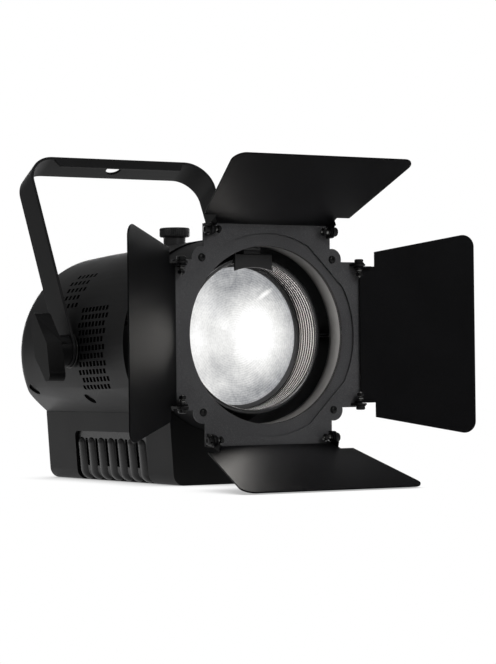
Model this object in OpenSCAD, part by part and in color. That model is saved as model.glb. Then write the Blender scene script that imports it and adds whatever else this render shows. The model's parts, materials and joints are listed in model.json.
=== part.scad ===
// Fresnel spotlight with barn doors, yoke and manual zoom.
// Front of the lamp is -Y, the lens axis runs along Y above the origin, +Z is up.
// The origin lies on the floor, straight below the yoke's pivot.

/* [Housing] */
// Height of the lens axis above the floor
axis_h = 152; // [148:1:165]
// Outer radius of the barrel
barrel_r = 109; // [107:0.5:114]
// How far the barrel's axis lies below the lens axis
barrel_drop = 8; // [6:1:11]
// Length of the barrel in front of the yoke pivot
barrel_fwd = 116; // [112:1:125]
// Length of the barrel behind the yoke pivot
barrel_back = 143; // [138:1:160]
// Wall thickness of the castings
wall = 3; // [2.5:0.5:4]
// Slope of the barrel's axis, which falls towards the back, in degrees
barrel_tilt = 1.6; // [1:0.1:2]
// Rounding radius at the back of the barrel
back_round = 27; // [22:1:28]
// How much the barrel narrows towards the back
back_taper = 1; // [0.5:0.5:4]
// Slope of the flanks that join the barrel to the base, in degrees
flank_slope = 39; // [34:1:44]

/* [Base] */
// Half width of the base at its top
base_half_top = 69; // [66:1:74]
// Half width of the base at its foot
base_half_foot = 64; // [62:1:66]
// Height of the base's top edge above the floor
base_h = 74; // [70:1:78]
// Reach of the base in front of the yoke pivot
base_fwd = 140; // [134:1:150]
// Rounding radius of the base's lower edges
base_round = 12; // [10:1:14]

/* [Louvres] */
// Length of a louvre window
louvre_len = 162; // [140:1:176]
// Height of a louvre window's top edge above the floor
louvre_h = 53; // [46:1:56]
// Number of ribs in a window
louvre_ribs = 7; // [5:1:8]
// Half width of a rib
rib_r = 8.3; // [6:0.1:8.5]

/* [Vents] */
// Rows of slots in the main vent group
vent_rows = 11; // [7:1:11]
// Slots in a row
vent_cols = 8; // [5:1:8]
// Pitch of the rows around the barrel, in degrees
vent_row_step = 4.4; // [4:0.1:4.8]
// Pitch of the slots along the barrel
vent_pitch = 7.8; // [6.5:0.1:8]
// Width of a slot
vent_w = 5; // [3:0.1:5.4]
// Length of a slot
vent_l = 5.4; // [4:0.1:6]

/* [Snout] */
// Outer radius of the snout tube
snout_r = 100; // [99.5:0.1:101]
// Wall thickness of the snout tube
snout_wall = 3.5; // [3:0.1:3.7]
// Length of the snout tube
snout_len = 99; // [94:1:110]
// Radius of the light opening in the front ring
ring_open_r = 89; // [87.5:0.1:89.5]

/* [Barn doors] */
// Half width of the square barn-door frame
frame_half = 110; // [109.6:0.1:112]
// Thickness of the frame's sheet metal
frame_t = 2; // [1.5:0.1:2.5]
// Radius of the round opening in the frame
frame_open_r = 101.8; // [101:0.1:102.2]
// Half spacing of the frame's corner screws
screw_half = 76.3; // [76:0.1:77]
// Radius of the lobes around the corner screws
lobe_r = 11; // [9:0.5:12]
// Distance of the hinge axes from the lens axis
hinge_out = 104; // [103.5:0.1:105]
// Distance of the hinge axes in front of the frame
hinge_fwd = 8; // [7.5:0.1:10]
// Radius of the hinge bolts
bolt_r = 2; // [1.5:0.1:2.2]
// Length of a door from its hinge axis to its outer edge
door_len = 124; // [110:1:125]
// Thickness of a door's sheet metal
door_t = 1.6; // [1.2:0.1:2]
// Half width of a door at its inner shoulder
door_half_in = 84.5; // [80:0.5:88]
// Half width of a door at its outer edge
door_half_out = 104.5; // [94:0.5:105]
// Radius of a door's outer corners
door_corner = 12; // [8:1:16]
// How far the top door stands open from straight ahead, in degrees
open_top = 29; // [0:1:60]
// How far the right door stands open, in degrees
open_right = 71; // [0:1:90]
// How far the bottom door stands open, in degrees
open_bottom = 19; // [0:1:19]
// How far the left door stands open, in degrees
open_left = 50; // [0:1:90]

/* [Lens and zoom] */
// Room between the barrel's outside and the ribbed bore of the lens tube
tube_room = 33.5; // [33:0.1:34]
// How far the lens tube's end lip stands in over the lens
lens_lip = 4.9; // [4.5:0.1:7]
// Length of the lens tube
tube_len = 42; // [38:1:46]
// Travel of the lens tube
zoom_travel = 80; // [60:1:84]
// Pitch of the anti-glare ribs in the tube
rib_pitch = 3; // [3:0.1:4.2]
// Radius of the zoom knob's head
knob_r = 16.2; // [13:0.1:17]
// Height of the zoom knob's head
knob_h = 10; // [7:0.5:12]
// Distance of the zoom knob in front of the yoke pivot
knob_fwd = 31; // [28:1:36]
// Radius of the zoom stud
stud_r = 3; // [2.5:0.1:3.5]

/* [Yoke] */
// Width of the yoke's strip
yoke_w = 35.5; // [28:0.5:38]
// Thickness of the yoke's strip
yoke_t = 3; // [2.5:0.1:4]
// Gap between the barrel and the yoke's legs
yoke_gap = 3; // [2.5:0.1:5]
// Height of the yoke's bar above its pivot
yoke_h = 229.5; // [225:0.5:250]
// Radius of the yoke's bends
yoke_bend = 29; // [26:1:36]
// How far the yoke leans back, in degrees
yoke_lean = 28; // [0:1:40]
// Height of the stiffening flange on the bar
flange_h = 11.5; // [8:0.5:14]
// Radius of the clamp hole in the bar
clamp_hole_r = 8.75; // [6:0.05:9]
// Distance of the yoke pivot below the lens axis
pivot_drop = 12; // [10:1:14]
// Thickness of the paddle on the tilt knobs
paddle_t = 17.5; // [14:0.5:24]
// Length of the paddle above the pivot
paddle_up = 44; // [36:1:46]
// Length of the paddle below the pivot
paddle_down = 36; // [30:1:40]

/* [Hidden] */
$fn = 96;

// Clearance between pieces that move past each other
gap = 0.3;
// Radial clearance of a shaft in its bore
fit = 0.06;
// Overshoot of a cut past the face it opens
cut = 1;

// Places along the lens axis
front_y = -barrel_fwd;
back_y = barrel_back;
snout_y = front_y - snout_len;
retainer_t = 1.5;
flange_t = 2;
retainer_y = snout_y - 2*gap - retainer_t;
ring_y = retainer_y - gap - flange_t;
frame_y = ring_y - gap - frame_t;
hinge_y = frame_y - hinge_fwd;
collar_len = 24;
collar_y = ring_y + collar_len;
tube_gap = 4;
tube_y = collar_y + tube_gap;
tube_end_y = tube_y + tube_len;
bulkhead_t = 3;
led_gap = 20;
bulkhead_y = tube_end_y + zoom_travel + led_gap;
sink_y = bulkhead_y + bulkhead_t;
sink_len = 72;
fan_y = sink_y + sink_len;
fan_t = 25;
panel_t = 2;

// Heights
barrel_z = axis_h - barrel_drop;
pivot_z = axis_h - pivot_drop;
tray_z = wall;
bore_r = snout_r - snout_wall;
snout_room = 24.5;
tube_r = min(barrel_r - tube_room, snout_r - snout_room);
lens_r = tube_r - lens_lip;
rear_z = barrel_z - (barrel_fwd + barrel_back)*sin(barrel_tilt);

// Two-dimensional and placing helpers

module along_y(y, x = 0, z = 0) {
  translate([x, y, z]) rotate([-90, 0, 0]) children();
}

module along_x(x, y = 0, z = 0) {
  translate([x, y, z]) rotate([0, 90, 0]) children();
}

// Extrudes an outline drawn in X and Z from y over the thickness t
module slab_y(y, t) {
  translate([0, y + t, 0]) rotate([90, 0, 0]) linear_extrude(t) children();
}

module mirror_x() {
  children();
  mirror([1, 0, 0]) children();
}

// Places a barn-door piece on one side of the frame: 0 top, 1 right, 2 bottom, 3 left
module at_side(side) {
  translate([0, hinge_y, axis_h]) rotate([0, 90*side, 0]) translate([0, 0, hinge_out]) children();
}

// Housing

// Places children on the barrel's axis, with the origin at its front end
module on_barrel() {
  translate([0, front_y, barrel_z]) rotate([-barrel_tilt, 0, 0]) children();
}

// Revolved solid of the barrel, drawn in by inset, with spare length at both ends
module barrel_solid(inset) {
  spare = 3;
  r = barrel_r - inset;
  len = barrel_fwd + barrel_back + spare - inset;
  end_r = r - back_taper;
  round_r = back_round - inset;
  taper_len = 50;
  on_barrel() rotate([-90, 0, 0]) rotate_extrude() {
    polygon([[0, -2*spare], [r, -2*spare], [r, len - back_round - taper_len],
             [end_r, len - round_r], [end_r - round_r, len], [0, len]]);
    translate([end_r - round_r, len - round_r]) circle(round_r);
  }
}

// Outline that keeps what lies above the flanks, drawn in by inset
module above_flanks(inset) {
  rise = tan(flank_slope);
  lift = inset/cos(flank_slope);
  reach = barrel_r + 20;
  foot = base_half_top - inset;
  foot_z = base_h;
  side_z = base_h + (reach - base_half_top)*rise + lift;
  turn_z = base_h + (foot - base_half_top)*rise + lift;
  polygon([[-foot, foot_z - cut*(inset > 0 ? 1 : 0)], [foot, foot_z - cut*(inset > 0 ? 1 : 0)],
           [foot, turn_z], [reach, side_z], [reach, 2*axis_h], [-reach, 2*axis_h],
           [-reach, side_z], [-foot, turn_z]]);
}

module upper_solid(inset) {
  intersection() {
    barrel_solid(inset);
    slab_y(front_y + inset, barrel_fwd + barrel_back - 2*inset) above_flanks(inset);
  }
}

base_lean = atan((base_half_top - base_half_foot)/base_h);
round_x = base_half_foot + (base_half_top - base_half_foot)/base_h*base_round - base_round/cos(base_lean);

// Outline of the base up to a height, with rounded lower edges, drawn in by inset
module base_outline(high, inset) {
  r = base_round - inset;
  side_x = round_x + r*cos(base_lean);
  side_z = base_round - r*sin(base_lean);
  top_x = side_x + (high - side_z)*tan(base_lean);
  polygon([[-round_x, inset], [round_x, inset], [side_x, side_z], [top_x, high],
           [-top_x, high], [-side_x, side_z]]);
  for (x = [-round_x, round_x]) translate([x, base_round]) circle(r);
}

// One vent slot, cut through the barrel's wall at an angle around it
module vent_slot(angle, y) {
  on_barrel() translate([0, y - front_y, 0]) rotate([0, -angle, 0])
    translate([barrel_r - 2*wall - cut, -vent_w/2, -vent_l/2]) cube([2*wall + 2*cut, vent_w, vent_l]);
}

vent_low = -22;
vent_back_y = -14;
rear_vent_rows = 5;
rear_vent_cols = 5;
rear_vent_low = 26;
rear_vent_y = 8;

module side_vents() {
  for (row = [0:vent_rows - 1], col = [0:vent_cols - 1])
    vent_slot(vent_low + row*vent_row_step, vent_back_y - (col + 0.5*(row % 2))*vent_pitch);
  for (row = [0:rear_vent_rows - 1], col = [0:rear_vent_cols - 1])
    vent_slot(rear_vent_low + row*vent_row_step*1.2, rear_vent_y + (col + 0.5*(row % 2))*vent_pitch*1.2);
}

pocket_half = 13;
pocket_margin = 14;
pocket_depth = 1.2;
pad_t = 3;
slot_y = -knob_fwd - stud_r - gap;
slot_len = zoom_travel + 2*stud_r + 2*gap;
pocket_y = slot_y - pocket_margin;
pocket_len = slot_len + 2*pocket_margin;
pocket_z = barrel_z + barrel_r - (barrel_fwd + pocket_y + pocket_len)*sin(barrel_tilt) - pocket_depth;

// Flat pocket on the barrel's top, with the slot of the zoom stud
module zoom_slot() {
  translate([-pocket_half, pocket_y, pocket_z]) cube([2*pocket_half, pocket_len, 20]);
  translate([-stud_r - gap, slot_y, pocket_z - 20]) cube([2*(stud_r + gap), slot_len, 40]);
}

// Pad under the pocket, inside the barrel
module zoom_pad() {
  intersection() {
    upper_solid(0);
    translate([-pocket_half - pad_t, pocket_y - pad_t, pocket_z - pad_t])
      cube([2*(pocket_half + pad_t), pocket_len + 2*pad_t, 20]);
  }
}

// Flank screws: place along the lamp, and distance up the flank
flank_screw_at = [[0.5, 23], [112, 38]];
flank_screw_r = 7.6;
flank_sink = 2.6;
flank_head = 4.4;

// Places children on a flank, with +Z pointing out of it
module on_flank(side, at) {
  x = base_half_top + at[1]*cos(flank_slope);
  z = base_h + at[1]*sin(flank_slope);
  translate([side*x, at[0], z]) rotate([0, side*(180 - flank_slope), 0]) children();
}

bush_r = 12;
rear_open_r = 60;

module top_cover() color([0.09, 0.09, 0.095]) difference() {
  union() {
    difference() {
      upper_solid(0);
      upper_solid(wall);
    }
    zoom_pad();
  }
  along_y(front_y - cut, 0, axis_h) cylinder(r = bore_r + wall - fit, h = wall + 2*cut);
  along_y(back_y - wall - cut, 0, rear_z) cylinder(r = rear_open_r, h = wall + 2*cut);
  mirror_x() side_vents();
  zoom_slot();
  mirror_x() along_x(barrel_r - 4*wall, 0, pivot_z) cylinder(r = bush_r + fit, h = 5*wall);
  for (side = [-1, 1], at = flank_screw_at) on_flank(side, at)
    translate([0, 0, -4*wall]) cylinder(r = flank_screw_r, h = 8*wall);
}

louvre_y = -louvre_len/2 - 5;
rear_window_half = 50;

louvre_corner = 6;

// Opening of a louvre, which runs around the base's lower edge, with rounded upper corners
module louvre_window() {
  translate([round_x, louvre_y, 0]) rotate([90, 0, 90]) linear_extrude(base_half_top) {
    translate([0, -cut]) square([louvre_len, louvre_h - louvre_corner + cut]);
    translate([louvre_corner, -cut]) square([louvre_len - 2*louvre_corner, louvre_h + cut]);
    for (y = [louvre_corner, louvre_len - louvre_corner])
      translate([y, louvre_h - louvre_corner]) circle(louvre_corner);
  }
}

module base_tray() color([0.08, 0.08, 0.085]) difference() {
  slab_y(-base_fwd, base_fwd + back_y) base_outline(base_h, 0);
  slab_y(front_y, barrel_fwd + back_y - wall) base_outline(base_h + cut, wall);
  slab_y(-base_fwd + wall, base_fwd - barrel_fwd) base_outline(axis_h - snout_r - wall, wall + 0.5);
  translate([-round_x, -base_fwd + wall, -cut])
    cube([2*round_x, base_fwd + back_y - 2*wall, wall + 2*cut]);
  along_y(-base_fwd - cut, 0, axis_h) cylinder(r = snout_r + gap, h = base_fwd - barrel_fwd + 2*cut);
  mirror_x() louvre_window();
  translate([-rear_window_half, back_y - wall - cut, tray_z + 10])
    cube([2*rear_window_half, wall + 2*cut, base_h - tray_z - 16]);
}

module base_plate() color([0.07, 0.07, 0.075])
  translate([-round_x, -base_fwd + wall, 0]) cube([2*round_x, base_fwd + back_y - 2*wall, wall]);

// Band between two insets of the base's outline, on the right of an x
module louvre_skin(high, outer, inner, from_x) {
  intersection() {
    difference() {
      base_outline(high, outer);
      base_outline(high + cut, inner);
    }
    translate([from_x, outer]) square([base_half_top, base_h]);
  }
}

// Louvre of the right side: a back plate seated inside the wall, with ribs and gaps
module louvre() {
  back_t = 2;
  rim = 3;
  rib_top = louvre_h - 4;
  pitch = (louvre_len - 2*rib_r - 14)/(louvre_ribs - 1);
  slot_w = pitch - 2*rib_r;
  first = louvre_y + rib_r + 7;
  difference() {
    union() {
      slab_y(louvre_y - rim, louvre_len + 2*rim)
        louvre_skin(louvre_h + rim, wall, wall + back_t, round_x - 4);
      for (i = [0:louvre_ribs - 1])
        slab_y(first + i*pitch - rib_r, 2*rib_r) louvre_skin(rib_top, gap, wall + cut, round_x + gap);
    }
    for (i = [0:louvre_ribs - 2])
      translate([round_x + 2, first + (i + 0.5)*pitch - slot_w/2, base_round + 2])
        cube([40, slot_w, louvre_h - base_round - 10]);
  }
}

module louvre_right() color([0.1, 0.1, 0.105]) louvre();
module louvre_left() color([0.1, 0.1, 0.105]) mirror([1, 0, 0]) louvre();

module snout() color([0.08, 0.08, 0.085]) difference() {
  union() {
    along_y(snout_y, 0, axis_h) cylinder(r = snout_r, h = snout_len);
    along_y(front_y, 0, axis_h) cylinder(r = bore_r + wall - 2*fit, h = wall);
  }
  along_y(snout_y - cut, 0, axis_h) cylinder(r = bore_r, h = snout_len + wall + 2*cut);
}

ring_flange_r = 104;
collar_t = 2.5;

// Fixed ring: front flange, collar and back flange in one turned piece
module front_ring() color([0.16, 0.16, 0.165]) along_y(ring_y, 0, axis_h) difference() {
  rotate_extrude() {
    translate([ring_open_r, 0]) square([ring_flange_r - ring_open_r, flange_t]);
    translate([ring_open_r, 0]) square([collar_t, collar_len]);
    translate([ring_open_r, collar_len - 3]) square([bore_r - fit - ring_open_r, 3]);
  }
  translate([-0.5, ring_open_r - 1, 5]) cube([1, collar_t - 0.5, collar_len]);
}

rod_r = 2.5;
rod_room = 15.5;
rod_out = tube_r + rod_room;
arm_half = 10;
arm_t = 3;
arm_room = 2.7;
bore_room = 3;
arm_under_pad = pocket_z - pad_t - arm_room - axis_h;
arm_in_bore = sqrt(bore_r*bore_r - arm_half*arm_half) - bore_room;
arm_z = min(arm_under_pad, arm_in_bore) - arm_t;

notch_wide = pocket_half + pad_t + 2*gap;

// Upright plate that carries the light engine, with a notch for the zoom arm and the pad above it
module bulkhead() color([0.55, 0.56, 0.58]) difference() {
  intersection() {
    barrel_solid(wall + gap);
    slab_y(bulkhead_y, bulkhead_t) above_flanks(wall + gap);
    translate([-2*barrel_r, bulkhead_y, base_h]) cube([4*barrel_r, bulkhead_t, 4*barrel_r]);
  }
  translate([-notch_wide, bulkhead_y - cut, axis_h + arm_z - 4])
    cube([2*notch_wide, bulkhead_t + 2*cut, barrel_r]);
  for (x = [-rod_out, rod_out])
    along_y(bulkhead_y - cut, x, axis_h) cylinder(r = rod_r + fit, h = bulkhead_t + 2*cut);
}

module guide_rods() color([0.75, 0.76, 0.78])
  for (x = [-rod_out, rod_out])
    along_y(collar_y, x, axis_h) cylinder(r = rod_r, h = sink_y - collar_y);

led_t = 3;
led_r = 38;
emitter_r = 17;
emitter_h = 2;
led_screw_out = 27;
led_screw_r = 3;

module led_board() color([0.85, 0.85, 0.8]) {
  along_y(bulkhead_y - led_t, 0, axis_h) cylinder(r = led_r, h = led_t);
  along_y(bulkhead_y - led_t - emitter_h, 0, axis_h) cylinder(r = emitter_r, h = emitter_h);
  for (angle = [45:90:315])
    translate([led_screw_out*cos(angle), 0, axis_h + led_screw_out*sin(angle)])
      along_y(bulkhead_y - led_t - emitter_h) cylinder(r = led_screw_r, h = emitter_h);
}

sink_r = 70;
fin_pitch = 10;
fin_t = 2;
sink_base = 6;

module heat_sink() color([0.7, 0.71, 0.73]) {
  along_y(sink_y, 0, axis_h) cylinder(r = sink_r, h = sink_base);
  for (x = [-60:fin_pitch:60]) {
    half = sqrt(sink_r*sink_r - pow(abs(x) + fin_t/2, 2)) - 1;
    translate([x - fin_t/2, sink_y + sink_base, axis_h - half])
      cube([fin_t, sink_len - sink_base, 2*half]);
  }
}

fan_half = 46;
fan_hole_r = 43;
hub_r = 17;
shaft_r = 2;

// Square fan frame with a cross that holds the rotor's shaft
module fan_frame() color([0.05, 0.05, 0.05]) {
  boss_t = 4;
  difference() {
    slab_y(fan_y, fan_t) translate([0, axis_h]) square(2*fan_half, center = true);
    along_y(fan_y - cut, 0, axis_h) cylinder(r = fan_hole_r, h = fan_t + 2*cut);
  }
  difference() {
    union() {
      along_y(fan_y + fan_t - boss_t, 0, axis_h) cylinder(r = hub_r, h = boss_t);
      for (angle = [45:90:315])
        translate([0, 0, axis_h]) rotate([0, angle, 0])
          translate([hub_r - 2, fan_y + fan_t - boss_t, -2]) cube([fan_hole_r - hub_r + 3, boss_t, 4]);
    }
    along_y(fan_y, 0, axis_h) cylinder(r = shaft_r + fit, h = fan_t + cut);
  }
}

module fan_rotor() color([0.06, 0.06, 0.065]) {
  blade_h = 12;
  rotor_y = fan_y + 3;
  rotor_len = fan_t - 4 - gap - 3;
  along_y(rotor_y, 0, axis_h) cylinder(r = hub_r, h = rotor_len);
  along_y(rotor_y, 0, axis_h) cylinder(r = shaft_r, h = fan_t - 3 - cut);
  for (angle = [0:360/7:359])
    translate([0, rotor_y + rotor_len/2, axis_h]) rotate([0, angle, 0])
      translate([hub_r - 1, 0, 0]) rotate([40, 0, 0])
        translate([0, -blade_h/2, -0.8]) cube([fan_hole_r - hub_r - 2, blade_h, 1.6]);
}

supply_half = 45;
supply_h = 44;
supply_y = -96;
supply_len = 150;
terminal_in = 6;
terminal_w = 50;
terminal_len = 14;
terminal_h = 20;

module power_supply() color([0.6, 0.61, 0.63]) {
  translate([-supply_half, supply_y, tray_z]) cube([2*supply_half, supply_len, supply_h]);
  translate([-supply_half + terminal_in, supply_y + supply_len, tray_z])
    cube([terminal_w, terminal_len, terminal_h]);
}

module driver_board() color([0.05, 0.3, 0.15]) {
  standoff = 6;
  board_t = 1.6;
  board_w = 80;
  board_len = 90;
  z = tray_z + supply_h;
  y = supply_y + 20;
  post_in = 6;
  post_r = 3;
  for (x = [-board_w/2 + post_in, board_w/2 - post_in], dy = [post_in, board_len - post_in])
    translate([x, y + dy, z]) cylinder(r = post_r, h = standoff);
  translate([-board_w/2, y, z + standoff]) cube([board_w, board_len, board_t]);
  for (i = [0:3])
    translate([-24 + 16*i, y + 22, z + standoff + board_t]) cylinder(r = 5, h = 10);
  translate([-26, y + 46, z + standoff + board_t]) cube([52, 24, 6]);
}

// Rear panel and what is on it

panel_r = 79;
panel_base_half = base_half_top - 14;
panel_low = base_round;
display_w = 52;
display_h = 24;
display_z = rear_z + 40;
button_r = 4;
button_x = [-27, -9, 9, 27];
button_z = rear_z + 18;
data_x = 26;
data_z = rear_z - 40;
power_x = 33;
power_z = 36;
socket_r = 11.5;
fuse_r = 7;
eye_up = 67;
eye_z = rear_z + eye_up;
slot_count = 5;
slot_half = 42;
slot_down = 25;
slot_pitch = 7;
slot_h = 3.4;
panel_screw_in = 5;
panel_screw_x = panel_base_half - panel_screw_in;
screw_r = 3;
panel_side_x = base_half_top - screw_r;
panel_screws = [[-panel_screw_x, panel_low + 6], [panel_screw_x, panel_low + 6],
  [-panel_screw_x, base_h - 14], [panel_screw_x, base_h - 14],
  [-panel_side_x, rear_z + 12], [panel_side_x, rear_z + 12]];

module rear_panel() color([0.08, 0.08, 0.085]) difference() {
  union() {
    along_y(back_y, 0, rear_z) cylinder(r = panel_r, h = panel_t);
    translate([-panel_base_half, back_y, panel_low])
      cube([2*panel_base_half, panel_t, rear_z - 40 - panel_low]);
  }
  translate([-display_w/2, back_y - cut, display_z - display_h/2])
    cube([display_w, panel_t + 2*cut, display_h]);
  for (x = button_x)
    along_y(back_y - cut, x, button_z) cylinder(r = button_r + gap, h = panel_t + 2*cut);
  for (x = [-1, 1]) {
    along_y(back_y - cut, x*data_x, data_z) cylinder(r = socket_r, h = panel_t + 2*cut);
    along_y(back_y - cut, x*power_x, power_z) cylinder(r = socket_r, h = panel_t + 2*cut);
  }
  along_y(back_y - cut, 0, power_z) cylinder(r = fuse_r, h = panel_t + 2*cut);
  for (i = [0:slot_count - 1])
    translate([-slot_half, back_y - cut, rear_z - slot_down + i*slot_pitch])
      cube([2*slot_half, panel_t + 2*cut, slot_h]);
}

module rear_screws() color([0.12, 0.12, 0.125])
  for (p = panel_screws)
    along_y(back_y + panel_t, p[0], p[1]) cylinder(r = screw_r, h = 1.8);

module display() color([0.02, 0.03, 0.05])
  translate([-display_w/2 + fit, back_y, display_z - display_h/2 + fit])
    cube([display_w - 2*fit, panel_t + 0.6, display_h - 2*fit]);

press = 1.2;
button_cap = 2.6;

// Push button: a cap in the panel's hole, with a flange behind the panel that keeps it in
module button(x) {
  flange_y = back_y - gap - 1.5;
  along_y(flange_y, x, button_z) cylinder(r = button_r + 1.2, h = 1.5);
  along_y(flange_y, x, button_z) cylinder(r = button_r, h = gap + 1.5 + panel_t + button_cap);
}

module button_1() color([0.2, 0.2, 0.21]) button(button_x[0]);
module button_2() color([0.2, 0.2, 0.21]) button(button_x[1]);
module button_3() color([0.2, 0.2, 0.21]) button(button_x[2]);
module button_4() color([0.2, 0.2, 0.21]) button(button_x[3]);

// Panel socket: square flange, round body through the panel, and a ring-shaped mouth
module socket(x, z, mouth_r, core_r) {
  flange_half = 13;
  difference() {
    union() {
      translate([x - flange_half, back_y + panel_t, z - flange_half])
        cube([2*flange_half, 2, 2*flange_half]);
      along_y(back_y - 16, x, z) cylinder(r = socket_r - fit, h = 16 + panel_t);
      along_y(back_y + panel_t, x, z) cylinder(r = socket_r, h = 6);
    }
    along_y(back_y - 10, x, z) difference() {
      cylinder(r = mouth_r, h = 30);
      translate([0, 0, -cut]) cylinder(r = core_r, h = 10 + panel_t + 5 + cut);
    }
  }
}

module power_in() color([0.1, 0.25, 0.6]) socket(-power_x, power_z, 9.5, 6);
module power_out() color([0.55, 0.56, 0.58]) socket(power_x, power_z, 9.5, 6);
module data_in() color([0.6, 0.61, 0.63]) socket(-data_x, data_z, 9, 1.4);
module data_out() color([0.6, 0.61, 0.63]) socket(data_x, data_z, 9, 1.4);

module fuse_holder() color([0.04, 0.04, 0.04]) {
  along_y(back_y - 20, 0, power_z) cylinder(r = fuse_r - fit, h = 20 + panel_t);
  along_y(back_y + panel_t, 0, power_z) cylinder(r = fuse_r + 2, h = 2.5);
  along_y(back_y + panel_t + 2.5, 0, power_z) cylinder(r = fuse_r - 1, h = 5);
}

// Bent-rod eye for a safety wire
module safety_eye() color([0.7, 0.71, 0.73]) {
  eye_half = 10;
  rod = 2.5;
  out = 14;
  for (x = [-eye_half, eye_half]) {
    along_y(back_y + panel_t, x, eye_z) cylinder(r = rod, h = out);
    translate([x, back_y + panel_t + out, eye_z]) sphere(rod);
  }
  translate([-eye_half, back_y + panel_t + out, eye_z]) rotate([0, 90, 0])
    cylinder(r = rod, h = 2*eye_half);
}

leg_x = barrel_r + yoke_gap;
spigot_r = 8;
clamp_r = 5;

// Steel pivot: bush in the barrel's wall, friction flange, spigot for the yoke, bore for the knob
module pivot_bush() {
  difference() {
    union() {
      along_x(barrel_r - 11, 0, pivot_z) cylinder(r = bush_r, h = 12);
      along_x(barrel_r + 1, 0, pivot_z) cylinder(r = 19, h = yoke_gap - 1 - gap);
      along_x(leg_x - gap - cut, 0, pivot_z) cylinder(r = spigot_r, h = yoke_t + cut);
    }
    along_x(barrel_r - 20, 0, pivot_z) cylinder(r = clamp_r + fit, h = 60);
  }
}

module pivot_bushes() color([0.7, 0.71, 0.73]) mirror_x() pivot_bush();

module flank_screws() color([0.03, 0.03, 0.03])
  for (side = [-1, 1], at = flank_screw_at) on_flank(side, at) difference() {
    translate([0, 0, -flank_sink - flank_head]) cylinder(r = flank_screw_r - fit, h = flank_head);
    translate([0, 0, -flank_sink - flank_head/2]) cylinder(r = 2, h = flank_head, $fn = 6);
  }

// Lens and zoom

lens_seat_r = tube_r - 0.8;
lens_t = 6;
lens_ring_t = 2;
lens_y = tube_end_y - lens_t - 2;
rib_depth = 1.6;
tube_wall = 4.5;
tube_out_r = tube_r + tube_wall;
pad_low = tube_r - 5.5;

// Lens tube with fine ribs inside, two guided ears and a pad for the zoom arm
module lens_tube() color([0.13, 0.13, 0.135]) {
  rib_count = floor((lens_y - lens_ring_t - gap - tube_y - 1)/rib_pitch);
  ear_t = 8;
  ear_y = tube_end_y - ear_t;
  difference() {
    union() {
      along_y(tube_y, 0, axis_h) cylinder(r = tube_out_r, h = tube_len);
      translate([-rod_out - 4.5, ear_y, axis_h - 7]) cube([2*rod_out + 9, ear_t, 14]);
      translate([-arm_half, tube_y, axis_h + pad_low]) cube([2*arm_half, tube_len, arm_z - pad_low]);
    }
    along_y(tube_y, 0, axis_h) rotate_extrude() polygon([
      [0, -cut], [tube_r, -cut],
      for (i = [0:rib_count - 1]) each [
        [tube_r, i*rib_pitch + 0.5], [tube_r - rib_depth, (i + 0.5)*rib_pitch + 0.5],
        [tube_r, (i + 1)*rib_pitch + 0.5]],
      [tube_r, lens_y - lens_ring_t - tube_y], [lens_seat_r + fit, lens_y - lens_ring_t - tube_y],
      [lens_seat_r + fit, lens_y + lens_t - tube_y], [lens_r, lens_y + lens_t - tube_y],
      [lens_r, tube_len + cut], [0, tube_len + cut]]);
    for (x = [-rod_out, rod_out])
      along_y(ear_y - cut, x, axis_h) cylinder(r = rod_r + fit, h = ear_t + 2*cut);
  }
}

// Stepped lens: flat back, front face of concentric prisms around a domed centre
module fresnel_lens() color([0.9, 0.92, 0.95, 0.6]) {
  step_w = 7;
  inner = 14;
  steps = floor((lens_r - inner)/step_w);
  along_y(lens_y, 0, axis_h) rotate_extrude() polygon([
    [0, 0.6], [inner*0.6, 1.1], [inner, 2.2],
    for (i = [0:steps - 1]) each [[inner + i*step_w, 0.6 + 0.05*i],
      [inner + (i + 1)*step_w - 0.4, 1.6 + 0.1*i]],
    [inner + steps*step_w, 0.5], [lens_seat_r, 0.5], [lens_seat_r, lens_t], [0, lens_t]]);
}

module lens_ring() color([0.05, 0.05, 0.05]) along_y(lens_y - lens_ring_t, 0, axis_h) difference() {
  cylinder(r = lens_seat_r, h = lens_ring_t + 0.5);
  translate([0, 0, -cut]) cylinder(r = lens_r, h = lens_ring_t + 0.5 + 2*cut);
}

block_t = 3;
block_half = 22;
block_low = tube_r - 7;
block_root = block_low - 13.5;

// Block at the front of the tube that ties it to the zoom arm
module arm_block() color([0.12, 0.12, 0.125]) difference() {
  translate([-block_half, tube_y - block_t, axis_h + block_root])
    cube([2*block_half, block_t, arm_z - block_root - 4]);
  along_y(tube_y - block_t - cut, 0, axis_h) cylinder(r = block_low, h = block_t + 2*cut);
}

arm_end = 12;

module zoom_arm() color([0.6, 0.61, 0.63])
  translate([-arm_half, tube_y, axis_h + arm_z])
    cube([2*arm_half, -knob_fwd + arm_end - tube_y, arm_t]);

collar_r = 12;
collar_h = 13;
knob_z = pocket_z + gap;

module zoom_stud() color([0.75, 0.76, 0.78]) {
  low = axis_h + arm_z + arm_t;
  translate([0, -knob_fwd, low]) cylinder(r = stud_r, h = knob_z + collar_h + knob_h*0.6 - low);
}

// Knurled lock knob with a collar, turning on the stud
module zoom_knob() color([0.1, 0.1, 0.105]) {
  flutes = 40;
  translate([0, -knob_fwd, knob_z]) difference() {
    union() {
      cylinder(r = collar_r, h = collar_h);
      translate([0, 0, collar_h]) rotate_extrude() polygon([
        [0, 0], [knob_r - 1, 0], [knob_r, 1], [knob_r, knob_h - 1.2],
        [knob_r - 1.2, knob_h], [0, knob_h]]);
    }
    for (i = [0:flutes - 1])
      rotate(i*360/flutes) translate([knob_r + 0.4, 0, collar_h - cut])
        cylinder(r = 0.9, h = knob_h + 2*cut, $fn = 16);
    translate([0, 0, -cut]) cylinder(r = stud_r + fit, h = collar_h + knob_h*0.6 + gap + cut);
  }
}

// Yoke and tilt knobs

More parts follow.
